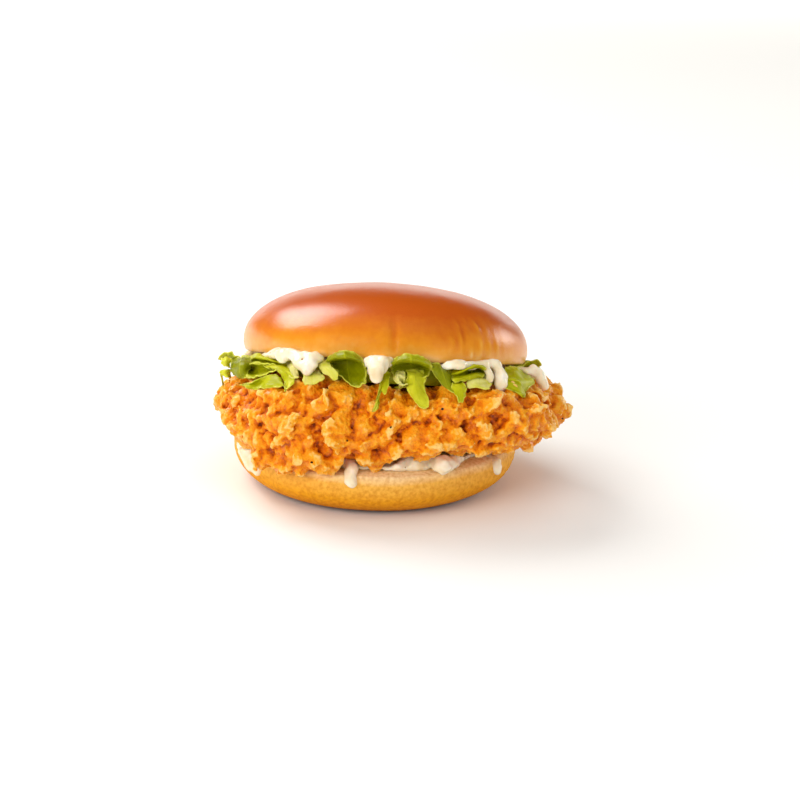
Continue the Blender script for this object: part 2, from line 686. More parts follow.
def sunk(obj, depth):
    """The surface moved inwards, to leave room for what is laid on it."""
    set_points(obj.data, points_of(obj.data) - depth * normals_of(obj.data))


def lifted_hem(obj, rise):
    """The fillet's lower front edge raised, where sauce shows between it and the heel."""
    spots = points_of(obj.data)
    azimuth = np.degrees(np.arctan2(spots[:, 0], -spots[:, 1]))
    reach = smooth_step(4, 13, azimuth) * (1 - smooth_step(42, 56, azimuth))
    reach += 0.5 * smooth_step(-15, -11, azimuth) * (1 - smooth_step(-6, -2, azimuth))
    spots[:, 2] += rise * reach * (1 - smooth_step(21 * MM, 33 * MM, spots[:, 2]))
    set_points(obj.data, spots)


def grained(obj, size, depth):
    """Small round grains over the whole surface, as relief along its normals."""
    spots = points_of(obj.data)
    near_cell = np.array([noise.voronoi(Vector(spot) / size)[0][0] for spot in spots])
    set_points(obj.data, spots + normals_of(obj.data) * (depth * (0.45 - near_cell))[:, None])


def clumped(obj, size, depth, seam, seed):
    """Clumps with flat tops at slightly different levels, with narrow crevices between them."""
    spots = points_of(obj.data)
    lift = np.empty(len(spots))
    for i, spot in enumerate(spots):
        place = Vector(spot) / size + Vector((seed, 0.0, 0.0))
        place += 0.22 * noise.noise_vector(1.6 * place)
        distances, centres = noise.voronoi(place)
        crevice = 1.0 - min(1.0, (distances[1] - distances[0]) / seam)
        lift[i] = 0.35 * noise.cell(7.3 * centres[0]) - crevice * crevice
    set_points(obj.data, spots + normals_of(obj.data) * (depth * lift)[:, None])


CRUST_VOXELS = (0.9 * MM, 0.60 * MM, 0.46 * MM)
CRUST_TRIANGLES = 192000
crust = fused(welded_copy("chicken_fillet", "fried_fillet"), CRUST_VOXELS[0])
sunk(crust, 1.9 * MM)
lifted_hem(crust, 3.8 * MM)
mark_shown(crust)
scattered(
    crust, fried_crust, Spacing=3.1 * MM, Density=400000.0, Smallest=(2.3 * MM, 1.9 * MM, 1.4 * MM),
    Largest=(5.6 * MM, 4.3 * MM, 2.3 * MM), Lean=0.32, Roughening=0.8 * MM, Roundness=3, Seed=5,
    Keep_surface=True,
)
fused(crust, CRUST_VOXELS[1])
softened(crust, 1)
clumped(crust, 8.5 * MM, 1.5 * MM, 0.16, 0.0)
clumped(crust, 3.8 * MM, 0.4 * MM, 0.22, 5.0)
mark_shown(crust)
scattered(
    crust, fried_crust, Spacing=1.35 * MM, Density=700000.0, Smallest=(0.40 * MM, 0.40 * MM, 0.30 * MM),
    Largest=(1.20 * MM, 1.05 * MM, 0.50 * MM), Lean=0.5, Roughening=0.3 * MM, Roundness=2, Seed=9,
    Keep_surface=True,
)
fused(crust, CRUST_VOXELS[2])
thinned(crust, CRUST_TRIANGLES)
grained(crust, 1.2 * MM, 0.40 * MM)
print("crust", len(crust.data.vertices), "points")

# %% How far each point stands out
def standing_out(obj, rounds):
    """Metres from a point to where its smoothed neighbourhood would put it, along its normal."""
    mesh = obj.data
    start, mean = points_of(mesh), neighbour_mean(mesh)
    smooth = start.copy()
    for _ in range(rounds):
        smooth = mean(smooth)
    return np.einsum("ij,ij->i", start - smooth, normals_of(mesh))


near = standing_out(crust, 12)
wide = standing_out(crust, 90)
crag_values = 0.5 + 0.10 * near / near.std() + 0.09 * wide / wide.std()
set_attribute(crust.data, "crag", np.clip(crag_values, 0.0, 1.0))
print("crag from", round(float(crag_values.min()), 2), "to", round(float(crag_values.max()), 2))
finished(crust, fried_crust, "fried_crust", "chicken_fillet")
crust_tree = tree_of(crust)

# %% [markdown]
# Lettuce
#
# Torn leaves stick out all round, some folded up against the bread, some rolled and some hanging over the
# crust. At the front each one is shaped by hand: a small net of places, which a spline turns into a smooth
# sheet. A place is picked as an artist would, by where it is seen: pixels across and down in a frame of 800,
# and the distance in millimetres from the crown's upright axis. Each leaf also has a tone, from dark to pale.

# %% Nets of the front leaves
FRONT_LEAVES = (
    ("fold_front", 0.2, (
        ((326, 361, 51), (334, 353, 53.5), (344, 350.5, 54.5), (354, 352.5, 54), (362, 357, 52.5)),
        ((325, 362, 53), (335, 358, 57), (345, 357, 58.5), (356, 359, 58), (364, 364, 55)),
        ((328, 364, 50), (337, 361, 48.5), (347, 360, 48), (357, 362, 48.5), (366, 368, 52)),
        ((332, 367, 52), (339, 368, 49.5), (348, 370, 49), (358, 372, 50.5), (367.5, 374, 55.5)),
        ((338, 372, 54.5), (343, 376, 53.5), (350, 380, 54), (358, 380, 55.5), (366, 380, 58)),
        ((345, 380, 56.5), (349, 384, 57), (353, 387, 57.5), (358, 387.5, 58.5), (363, 383, 59.5)),
    )),
    ("fold_middle", 0.3, (
        ((390, 362, 51), (398, 357, 53.5), (410, 354.5, 54.5), (422, 356.5, 54), (432, 362, 52)),
        ((389, 365, 53), (399, 361, 57), (411, 360, 58), (422, 362.5, 57.5), (432, 366.5, 54.5)),
        ((390, 368, 50), (400, 364.5, 48.5), (411, 364, 48), (422, 366, 48.5), (431, 370, 51)),
        ((392, 372, 52), (400, 371, 50), (411, 371, 49.5), (421, 372, 50), (430, 374, 53)),
        ((394, 377, 55), (401, 379, 55), (410, 377, 54), (419, 377, 54), (427, 377, 56)),
    )),
    ("tongue", 0.72, (
        ((406, 369, 49.5), (411, 369, 49.5), (417, 369, 49.5), (423, 370, 50)),
        ((407, 376, 54.5), (412, 376, 55.5), (418, 377, 55.5), (425, 378, 54.5)),
        ((407, 385, 57), (412, 385, 58.5), (418, 386, 58.5), (424, 387, 57)),
        ((409, 393, 58), (414, 393, 59.5), (420, 394, 59.5), (426, 395, 58.5)),
        ((414, 401, 59), (418, 401, 60), (423, 402, 60), (429, 402, 59.5)),
        ((421, 407, 59.5), (423, 408.5, 60), (425.5, 409.5, 60), (428, 406, 60)),
    )),
    ("curl", 0.92, (
        ((396, 371, 50.5), (399, 370, 50.5), (404, 370, 50.5)),
        ((394, 377, 54.5), (399, 376, 56), (406, 377, 55.5)),
        ((395, 382, 56.5), (400, 383.5, 57.5), (406, 383, 57)),
        ((399, 385, 57.5), (403, 385.5, 58), (409, 384.5, 58)),
    )),
    ("small_point", 0.6, (
        ((383, 373, 51), (386, 372, 51), (390, 372, 51)),
        ((381, 380, 56), (385, 380, 57), (389, 379, 56)),
        ((380.5, 387, 58), (384, 387, 59), (388, 386, 58.5)),
        ((383, 393, 58.8), (385, 394, 59.3), (387, 392, 59)),
    )),
    ("dark_slope", 0.15, (
        ((430, 364, 51), (436, 363, 52), (442, 365, 51.5), (448, 369, 50)),
        ((431, 369, 53.5), (438, 369, 55), (445, 371, 54.5), (452, 374, 52.5)),
        ((434, 374, 55), (441, 377, 56.5), (447, 379, 56.5), (453, 381, 55)),
        ((441, 384, 57.3), (445, 386, 58), (450, 388, 58.5), (454, 389, 58)),
        ((445, 388, 58), (449, 390.5, 58.5), (452, 392.5, 59), (456, 394, 59)),
    )),
    ("small_cup", 0.55, (
        ((452, 383, 56), (456, 381, 55.5), (461, 381, 55.5), (465, 384, 56)),
        ((451, 388, 59), (456, 386.5, 57), (461, 386.5, 57), (466, 389, 59)),
        ((454, 394, 60), (457, 393, 58.8), (462, 393, 58.8), (465.5, 395, 60)),
        ((457, 399, 60.2), (459, 399.5, 59.8), (462, 400, 59.8), (463.5, 399, 60.4)),
        ((460, 402, 60.5), (461, 402.5, 60.5), (461.5, 402.5, 60.5), (462, 402, 60.5)),
    )),
    ("slit_roll", 0.5, (
        ((450, 371, 50), (460, 369, 51), (470, 366, 53), (479, 364.5, 54.5), (485, 366, 54)),
        ((449, 375, 53), (460, 372, 55.5), (470, 368, 57), (479, 366, 58), (486, 369, 57)),
        ((450, 377, 53), (460, 375, 53), (470, 371.5, 51), (478, 369.5, 51), (485, 373, 54)),
        ((452, 380, 56.5), (461, 378, 57.5), (470, 375.5, 57.5), (478, 374, 57.5), (484, 376, 57)),
        ((455, 382.5, 57), (462, 381.5, 57.5), (469, 380, 57), (476, 379, 56.5), (482, 380, 56.5)),
    )),
    ("pale_under", 0.9, (
        ((468, 377, 52), (475, 376, 53), (482, 376, 53), (488, 377, 52.5)),
        ((467, 382, 57), (475, 380, 58), (483, 380, 58.5), (491, 381, 57.5)),
        ((467, 387, 58.8), (475, 384.5, 59.5), (483, 384.5, 59.5), (492, 384.5, 59)),
        ((469, 389, 59), (476, 388.5, 59.7), (484, 389.5, 60), (489, 388, 59.5)),
    )),
    ("right_point", 0.55, (
        ((504, 368, 51), (510, 367, 52), (516, 366, 52.5), (523, 366.5, 52)),
        ((504, 374, 54), (511, 374, 56), (518, 373, 57), (526, 373, 55)),
        ((506, 381, 57), (512, 383, 57.5), (520, 381, 59.5), (531, 379, 58.5)),
        ((509, 388, 58.7), (513, 391, 59), (521, 389, 60.5), (535, 382, 60.5)),
        ((511, 395, 59.5), (513.5, 397, 60), (519, 395, 60.8), (529, 389, 61)),
        ((513, 401, 60), (514, 402, 60.3), (516, 401, 60.6), (520, 397, 61)),
    )),
    ("tip_upper", 0.75, (
        ((232, 358, 60), (231, 363, 60), (230, 368, 60)),
        ((226, 357.5, 62), (226, 362, 62.5), (227, 367, 62)),
        ((221, 358, 63), (221.5, 362, 63.5), (224, 367, 63)),
    )),
    ("tip_lower", 0.75, (
        ((232, 369, 59.5), (231, 373, 60), (231, 378, 60)),
        ((226, 370, 62), (225, 373.5, 62.5), (228, 378, 62)),
        ((221, 371, 63), (220, 373, 63.5), (225, 377.5, 63)),
    )),
    ("dark_left", 0.12, (
        ((233, 359, 57), (239, 357, 56), (246, 356, 55), (252, 357, 53.5)),
        ((230.5, 365, 59.5), (237, 364, 60), (244, 363, 59), (251, 363, 56.5)),
        ((231, 371, 60.5), (237, 371, 61), (243, 371, 60), (249, 370, 57)),
        ((235, 375, 60.5), (239, 377, 61), (244, 376.5, 60), (249, 375, 57.5)),
        ((239, 377.5, 60), (241, 378.5, 60), (245, 378.5, 59.5), (249, 378, 58)),
    )),
    ("rolled_cup", 0.4, (
        ((243, 370, 58.5), (249, 364, 57.5), (257, 363, 57), (266, 365, 57), (276, 367, 57.5)),
        ((245, 371, 56.5), (251, 368, 54.5), (259, 367.5, 54), (267, 368.5, 55), (276, 369, 57)),
        ((247, 373, 57), (253, 373.5, 55.5), (260, 373, 55), (268, 371.5, 56.5), (276, 370.5, 57.8)),
        ((247, 377, 60), (254, 377.5, 60.5), (261, 376, 61), (269, 372.5, 60.5), (277, 370.5, 60)),
    )),
    ("blade", 0.5, (
        ((241, 385, 61), (250, 382, 61.5), (260, 378, 61), (270, 374.5, 60.5),
         (278, 375, 60), (283.5, 382, 60)),
        ((244, 386, 60.5), (252, 384.5, 60), (261, 383, 59), (270, 380, 58.5),
         (278, 380, 58.5), (284, 385, 59.5)),
        ((249, 388, 60.8), (256, 389.5, 61), (264, 389, 61), (272, 387.5, 60.5),
         (279, 386.5, 60), (286, 387, 59.8)),
    )),
    ("bulge", 0.6, (
        ((262, 362, 50), (270, 361, 50), (278, 362, 50), (286, 364, 50)),
        ((264, 366, 57), (272, 366, 58), (281, 367, 57.5), (289, 368, 55.5)),
        ((277, 370, 59.5), (282, 372, 60), (288, 374, 59), (292, 375, 57)),
        ((283, 378, 60), (286, 379, 60.5), (290, 380, 60), (294, 380, 58.5)),
        ((284, 386, 60), (287, 387, 60.3), (290, 387, 60), (293, 384, 59)),
    )),
    ("upper_fold", 0.62, (
        ((251, 356, 53), (257, 353.5, 54), (265, 356, 54.5), (273, 359, 54), (281, 361.5, 53)),
        ((251, 359, 55.5), (257, 357, 57), (265, 359, 57), (273, 361, 56), (281, 363, 54.5)),
        ((252, 361, 54), (258, 360, 52.5), (265, 361, 52.5), (272, 362.5, 53), (280, 364, 53.5)),
        ((252, 363, 56.5), (259, 363, 57.5), (266, 363.5, 57.5), (273, 364.5, 57), (281, 366, 56)),
    )),
    ("coated", 1.0, (
        ((288, 361, 51), (293, 361, 52), (298, 361, 51)),
        ((287, 367, 55), (292, 366, 56.5), (298, 367, 55.5)),
        ((287, 372, 57), (292, 372, 58), (298, 373, 57)),
        ((290, 377, 58), (294, 378, 58.5), (299, 378, 58)),
    )),
    ("scalloped", 0.9, (
        ((308, 369, 51), (314, 369, 51.5), (320, 370, 51)),
        ((304, 376, 56), (312, 375, 57), (322, 374, 56)),
        ((302.5, 380, 58), (312, 380, 58.8), (323.5, 378, 58)),
        ((305, 384.5, 58.8), (312, 385.5, 59.3), (322, 382, 59)),
    )),
    ("strip", 0.85, (
        ((317, 361, 50.5), (321, 360.5, 51), (326, 361, 51)),
        ((318, 366, 54.5), (324, 366, 56), (331, 366, 55)),
        ((322, 371, 56.5), (329, 371.5, 58), (336, 371, 57)),
        ((328, 376, 57.5), (333, 377, 58.8), (338.5, 376, 58.3)),
        ((333, 379.5, 58.3), (336, 380.5, 58.8), (339, 380, 58.8)),
    )),
)
print(len(FRONT_LEAVES), "leaves at the front")

# %% [markdown]
# From a seen place to a real one
#
# The line of sight through a pixel meets the upright cylinder of the given radius at one near place. Low and
# far out, where a leaf lies over the crust, a lump may stand in front of that place. The place then moves along
# the line towards the camera, so the picture of the leaf stays the same and none of it is buried.

# %% Places
PICTURE_SIZE = 800
LEAF_OFF_CRUST = 1.0 * MM
MOST_SHIFT = 4.5 * MM
OVER_CRUST_REACH = 56.0
OVER_CRUST_ROW = 372
PIXELS_AROUND = (-4, 0, 4)
CROWN_MIDDLE = CROWN_PLACE.translation


def sight(across, down):
    """The direction from the camera through a pixel, counted from the picture's upper left corner."""
    pixel = VIEW_WIDTH / PICTURE_SIZE
    half = PICTURE_SIZE / 2
    return (right * (across - half) * pixel + up * (half - down) * pixel - back * DISTANCE).normalized()


def seen_place(across, down, reach_mm):
    """The near place seen at a pixel that is this far from the crown's upright axis."""
    ray, start = sight(across, down), EYE - CROWN_MIDDLE
    a = ray.x ** 2 + ray.y ** 2
    b = 2 * (start.x * ray.x + start.y * ray.y)
    c = start.x ** 2 + start.y ** 2 - (reach_mm * MM) ** 2
    return EYE + ray * (-b - math.sqrt(max(0.0, b * b - 4 * a * c))) / (2 * a)


def leaf_place(across, down, reach_mm):
    """A leaf's place, moved towards the camera where the crust would hide it."""
    place = seen_place(across, down, reach_mm)
    far = (place - EYE).length
    nearest = far
    if reach_mm >= OVER_CRUST_REACH and down >= OVER_CRUST_ROW:
        for dx, dy in itertools.product(PIXELS_AROUND, repeat=2):
            depth = crust_tree.ray_cast(EYE, sight(across + dx, down + dy))[3]
            if depth is not None and depth < far + LEAF_OFF_CRUST:
                nearest = min(nearest, max(depth - LEAF_OFF_CRUST, far - MOST_SHIFT))
    return EYE.lerp(place, nearest / far)


def round_crown(azimuth_deg, reach_mm, height_mm):
    """A place by its angle from the front, its distance from the crown's middle and its height."""
    a = math.radians(azimuth_deg)
    x = CROWN_MIDDLE.x + reach_mm * MM * math.sin(a)
    y = CROWN_MIDDLE.y - reach_mm * MM * math.cos(a)
    return Vector((x, y, height_mm * MM))


print("sight lines start", [round(value, 3) for value in EYE], "m from the heel's middle")

# %% [markdown]
# Leaves of the sides and back
#
# The other leaves follow a rule instead: each is a sheet along a spine that lies flat under the bread and then
# bends up or down all the way to its tip, cupped across. One row of numbers gives each of them its angle,
# width, length, slopes, cup, ruffle and twist.

# %% Rule of the other leaves
OTHER_LEAVES = (
    (-84, 13, 15, 8, -8, 0.30, 1.3, 15), (-98, 19, 12, 50, 20, 0.50, 1.2, 8),
    (80, 13, 12, 20, 4, -0.40, 1.2, 0),
    (94, 17, 12, -50, 14, 0.50, 1.1, -6), (108, 21, 13, 40, 20, 0.50, 1.2, 8),
    (134, 20, 13, 62, 20, -0.40, 1.2, -8),
    (158, 21, 12, -60, 20, 0.55, 1.1, 6), (184, 20, 14, 66, 24, 0.50, 1.2, 0),
    (210, 20, 12, 44, 60, 0.45, 1.1, -8),
    (238, 21, 12, -55, 20, 0.50, 1.2, 8),
)
LEAF_ROOT = 40.5 * MM
LEAF_BED = 47.0 * MM
BED_TOP = 2.6 * MM
BED_BOTTOM = 5.4 * MM
NET_STEPS = (42, 30)
LEAF_WALL = 0.36 * MM


def leaf_spine(length, slope_start, slope_end, steps=60):
    """(distance along, reach, depth, slope) down a leaf's middle: flat in the bed, then bending all the way."""
    flat_run = LEAF_BED - LEAF_ROOT
    total = flat_run + length
    reach, drop = LEAF_ROOT, 0.5 * (BED_TOP + BED_BOTTOM)
    spine = [(0.0, reach, drop, 0.0)]
    for i in range(1, steps + 1):
        along = total * i / steps
        past = max(0.0, (along - flat_run) / length)
        slope = math.radians(slope_start) * float(smooth_step(0.0, 0.25, past))
        slope += math.radians(slope_end - slope_start) * past
        reach += math.cos(slope) * total / steps
        drop += math.sin(slope) * total / steps
        spine.append((along, reach, drop, slope))
    return np.array(spine)


def ruled_point(spine, leaf, u, v):
    """A point of a leaf's middle surface at u along it and v (-1 to 1) across it."""
    azimuth_deg, width, _, _, _, cup, ruffle, twist_deg = leaf
    flat_run, total = LEAF_BED - LEAF_ROOT, spine[-1, 0]
    torn = noise.noise(Vector((1.6 * v, 0.37 * azimuth_deg, 0.0)))
    tip = 1 - 0.26 * v * v + 0.22 * torn
    along = min(u * total, flat_run) + max(0.0, u * total - flat_run) * tip
    past = max(0.0, (along - flat_run) / (total - flat_run))
    reach, drop, slope = (float(np.interp(along, spine[:, 0], spine[:, k])) for k in (1, 2, 3))
    ragged = 1 + 0.25 * noise.noise(Vector((3.5 * u, math.copysign(1.7, v), 0.61 * azimuth_deg)))
    half = 0.5 * width * MM * (0.55 + 0.45 * math.sin(math.pi * min(0.62, 0.7 * u))) * ragged
    wave = ruffle * MM * abs(v) * past * math.sin(7.5 * u + 2.3 * math.copysign(1, v) + azimuth_deg)
    across, rise_up = half * v * (1 - 0.18 * abs(cup) * past), cup * half * v * v * past + wave
    turn = math.radians(twist_deg) * past
    sideways = across * math.cos(turn) - rise_up * math.sin(turn)
    lifted = across * math.sin(turn) + rise_up * math.cos(turn)
    azimuth = math.radians(azimuth_deg)
    out = Vector((math.sin(azimuth), -math.cos(azimuth), 0))
    local = out * (reach + lifted * math.sin(slope)) + Vector((math.cos(azimuth), math.sin(azimuth), 0)) * sideways
    local.z = -drop + lifted * math.cos(slope)
    return CROWN_PLACE @ local


def ruled_net(leaf):
    spine = leaf_spine(leaf[2] * MM, leaf[3], leaf[4])
    us, vs = np.linspace(0, 1, NET_STEPS[0] + 1), np.linspace(-1, 1, NET_STEPS[1] + 1)
    return np.array([[ruled_point(spine, leaf, u, v) for v in vs] for u in us])


# %% [markdown]
# From net to leaf
#
# A Catmull-Rom spline passes through its points, so the leaf goes where the net says. The sheet is then
# blistered along its normals, most at the free edges, pushed clear of crust and crown as one soft sheet, and
# given a wall. The push is averaged over the net, or the leaf would copy every lump that it lies on.

# %% Sheets
def through(net, count):
    """The net's rows made into this many rows, on a spline that passes through the given ones."""
    padded = np.concatenate([2 * net[:1] - net[1:2], net, 2 * net[-1:] - net[-2:-1]])
    t = np.linspace(0, len(net) - 1, count)
    i = np.minimum(t.astype(int), len(net) - 2)
    f = (t - i)[:, None, None]
    a, b, c, d = padded[i], padded[i + 1], padded[i + 2], padded[i + 3]
    return 0.5 * (2 * b + (c - a) * f + (2 * a - 5 * b + 4 * c - d) * f ** 2 + (3 * b - a - 3 * c + d) * f ** 3)


def spline_net(rows):
    net = np.array([[leaf_place(*spot) for spot in row] for row in rows])
    long = through(net, NET_STEPS[0] + 1)
    return through(long.transpose(1, 0, 2), NET_STEPS[1] + 1).transpose(1, 0, 2)


def net_normals(net):
    normal = np.cross(np.gradient(net, axis=0), np.gradient(net, axis=1))
    return normal / np.maximum(np.linalg.norm(normal, axis=2), 1e-12)[..., None]


def net_blur(values, rounds):
    for _ in range(rounds):
        padded = np.pad(values, ((1, 1), (1, 1), (0, 0)), mode="edge")
        values = (2 * values + padded[:-2, 1:-1] + padded[2:, 1:-1] + padded[1:-1, :-2] + padded[1:-1, 2:]) / 6
    return values


U, V = np.meshgrid(np.linspace(0, 1, NET_STEPS[0] + 1), np.linspace(-1, 1, NET_STEPS[1] + 1), indexing="ij")
EDGE = np.maximum(np.abs(V), np.abs(2 * U - 1))


def torn_edges(net, depth):
    """The sheet's free edges moved in and out within the sheet, as a torn leaf's are."""
    along, across = np.gradient(net, axis=0), np.gradient(net, axis=1)
    along /= np.maximum(np.linalg.norm(along, axis=2), 1e-12)[..., None]
    across /= np.maximum(np.linalg.norm(across, axis=2), 1e-12)[..., None]
    ragged = noise_at(net.reshape(-1, 3), 2.3 * MM, 9.0).reshape(U.shape)
    aside = ragged * np.sign(V) * smooth_step(0.5, 1.0, np.abs(V))
    onward = ragged * smooth_step(0.75, 1.0, U)
    return net + depth * (across * aside[..., None] + along * onward[..., None])


def blistered(net, amount):
    """The sheet puckered along its normals, with a frill at its edges."""
    net = torn_edges(net, 0.85 * amount * MM)
    flat = net.reshape(-1, 3)
    pucker = noise_at(flat, 3.4 * MM, 2.0).reshape(U.shape)
    frill = noise_at(flat, 1.9 * MM, 6.0).reshape(U.shape) * smooth_step(0.55, 1.0, EDGE)
    return net + net_normals(net) * (amount * (0.55 * MM * pucker + 0.95 * MM * frill))[..., None]


def laid_clear(net, trees):
    """The sheet moved off the solids, softly, so that it stays one smooth sheet."""
    for turn in range(7):
        push = np.zeros_like(net)
        for index in np.ndindex(U.shape):
            spot = Vector(net[index])
            for tree, clearance in trees:
                push[index] += np.array(pushed_clear(spot, tree, clearance) - spot)
        net = net + (1.5 * net_blur(push, 4) if turn < 6 else push)
    return net


def add_sheet(bm, layers, net, tone):
    verts = [[bm.verts.new(spot) for spot in row] for row in net]
    for index in np.ndindex(U.shape):
        vert = verts[index[0]][index[1]]
        vert[layers["along"]] = U[index]
        vert[layers["across"]] = V[index]
        vert[layers["edge"]] = EDGE[index]
        vert[layers["tone"]] = tone
    for i, j in np.ndindex(NET_STEPS):
        a, b, c, d = verts[i][j], verts[i + 1][j], verts[i + 1][j + 1], verts[i][j + 1]
        bm.faces.new((a, b, c))
        bm.faces.new((a, c, d))


crown_tree = tree_of(crown)
bm = bmesh.new()
layers = {key: bm.verts.layers.float.new(key) for key in ("along", "across", "edge", "tone")}
for name, tone, rows in FRONT_LEAVES:
    net = laid_clear(spline_net(rows), ((crust_tree, 0.45 * MM), (crown_tree, 0.35 * MM)))
    add_sheet(bm, layers, blistered(net, 0.8), tone)
for number, leaf in enumerate(OTHER_LEAVES):
    net = laid_clear(ruled_net(leaf), ((crust_tree, 0.6 * MM), (crown_tree, 0.35 * MM)))
    add_sheet(bm, layers, blistered(net, 1.1), (0.25 + 0.37 * number) % 1.0)
lettuce = piece_from(bm, "lettuce_leaves")
wall = lettuce.modifiers.new("wall", "SOLIDIFY")
wall.thickness = LEAF_WALL
wall.offset = 0.0
applied(lettuce)
print("lettuce", len(lettuce.data.vertices), "points")

# %% [markdown]
# Leaf as a material
#
# Green leaf lettuce: bright yellow-green between darker blotches, paler veins that fan out from the middle
# rib, and a pale torn edge. Light goes through it, so it gets some subsurface. The veins are bands in a
# slanted coordinate, u minus the distance from the rib, and they are also raised a little.

# %% Leaf material
leaf_green, tree, shader = new_material(
    "green leaf lettuce", Roughness=0.42, IOR=1.4, Specular_IOR_Level=0.3, Coat_Weight=0.06,
)
shader.inputs["Subsurface Weight"].default_value = 0.25
shader.inputs["Subsurface Radius"].default_value = (0.5, 0.7, 0.15)
shader.inputs["Subsurface Scale"].default_value = 0.002
place = add(tree, "ShaderNodeTexCoord")
along = add(tree, "ShaderNodeAttribute", attribute_name="along")
across = add(tree, "ShaderNodeAttribute", attribute_name="across")
tone = add(tree, "ShaderNodeAttribute", attribute_name="tone")
out_v = add(tree, "ShaderNodeMath", {0: across.outputs["Fac"]}, operation="ABSOLUTE")
slant = add(
    tree, "ShaderNodeMath", {0: out_v.outputs[0], 1: -0.42, 2: along.outputs["Fac"]}, operation="MULTIPLY_ADD"
)
blotch = add(tree, "ShaderNodeTexNoise", {"Vector": place.outputs["Object"], "Scale": 190.0, "Detail": 4.0})
bent = add(
    tree, "ShaderNodeMath", {0: blotch.outputs["Fac"], 1: 0.10, 2: slant.outputs[0]}, operation="MULTIPLY_ADD"
)
bands = add(tree, "ShaderNodeMath", {0: bent.outputs[0], 1: 48.0}, operation="MULTIPLY")
ripple = add(tree, "ShaderNodeMath", {0: bands.outputs[0]}, operation="SINE")
side_vein = add(
    tree, "ShaderNodeMapRange",
    {"Value": ripple.outputs[0], "From Min": 0.86, "From Max": 1.0, "To Max": 0.16}
)
rib = add(
    tree, "ShaderNodeMapRange",
    {"Value": out_v.outputs[0], "From Min": 0.07, "From Max": 0.01, "To Max": 0.38}
)
veins = add(tree, "ShaderNodeMath", {0: side_vein.outputs[0], 1: rib.outputs[0]}, operation="MAXIMUM")
uneven = add(tree, "ShaderNodeMath", {0: blotch.outputs["Fac"], 1: 0.55, 2: -0.27}, operation="MULTIPLY_ADD")
level = add(tree, "ShaderNodeMath", {0: tone.outputs["Fac"], 1: uneven.outputs[0]}, operation="ADD")
greens = add(tree, "ShaderNodeValToRGB", {"Fac": level.outputs[0]}, stops=(
    (0.05, "#767a01"), (0.35, "#989b01"), (0.60, "#b6b602"), (0.80, "#cdcc2e"), (1.00, "#e4de8c"),
))
paler = add(
    tree, "ShaderNodeMix", {0: veins.outputs[0], 6: greens.outputs["Color"], 7: colour("#c2c31a")},
    data_type="RGBA"
)
border = add(tree, "ShaderNodeAttribute", attribute_name="edge")
edge = add(
    tree, "ShaderNodeMapRange",
    {"Value": border.outputs["Fac"], "From Min": 0.86, "From Max": 1.0, "To Max": 0.8}
)
rimmed = add(
    tree, "ShaderNodeMix", {0: edge.outputs[0], 6: paler.outputs[2], 7: colour("#d6d64e")}, data_type="RGBA"
)
tree.links.new(rimmed.outputs[2], shader.inputs["Base Color"])
relief_height = add(
    tree, "ShaderNodeMath", {0: veins.outputs[0], 1: 0.7, 2: blotch.outputs["Fac"]}, operation="MULTIPLY_ADD"
)
bump = add(tree, "ShaderNodeBump", {"Strength": 0.5, "Distance": 0.0006, "Height": relief_height.outputs[0]})
tree.links.new(bump.outputs["Normal"], shader.inputs["Normal"])

# %% [markdown]
# The bed of lettuce
#
# Under the crown the leaves lie flat on each other. Only the edge of that bed can be seen, between the leaves
# that stick out, so it is one thin disc with a wandering rim, joined to the leaves.

# %% Bed
def disc(bm, radius, low, high, place_by, seed, steps=96):
    """A disc with a wandering rim between two heights of the frame that `place_by` gives."""
    rings = []
    for level_z in (low, high):
        ring = []
        for i in range(steps):
            a = math.tau * i / steps
            reach = radius * (1 + 0.05 * noise.noise(Vector((2 * math.cos(a), 2 * math.sin(a), seed))))
            ring.append(bm.verts.new(place_by @ Vector((reach * math.cos(a), reach * math.sin(a), level_z))))
        rings.append(ring)
    lower, upper = rings
    bm.faces.new(list(reversed(lower)))
    bm.faces.new(upper)
    for i in range(steps):
        k = (i + 1) % steps
        bm.faces.new((lower[i], lower[k], upper[k], upper[i]))


bm = bmesh.new()
bm.from_mesh(lettuce.data)
disc(bm, 49.5 * MM, -BED_BOTTOM - 2.8 * MM, -BED_TOP, CROWN_PLACE, 7.0)
bmesh.ops.triangulate(bm, faces=[face for face in bm.faces if len(face.verts) > 4])
bm.to_mesh(lettuce.data)
bm.free()
finished(lettuce, leaf_green, "lettuce_leaf", "lettuce")

# %% [markdown]
# Sauce
#
# Thick cream sauce squeezed out by the bread runs in lobes and drips with round ends. Beads along each run,
# fused by a voxel remesh and then smoothed, give that swollen look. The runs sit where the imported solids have
# them: some down the heel, some out from under the crown and over the leaves.

# %% Runs of sauce
def bead_line(spots, clear_of=None):
    """(centre, radius) of each bead along spots that are (centre, radius) themselves."""
    beads = []
    for (start, first), (end, last) in zip(spots, spots[1:]):
        steps = max(1, round((end - start).length / (0.6 * MM)))
        for i in range(steps + 1):
            centre, radius = start.lerp(end, i / steps), first + (last - first) * i / steps
            if clear_of:
                centre = pushed_clear(centre, clear_of, 0.55 * radius)
            beads.append((centre, radius))
    return beads


SAUCE_TRIANGLES = 70000
SAUCE_VOXEL = 0.42 * MM


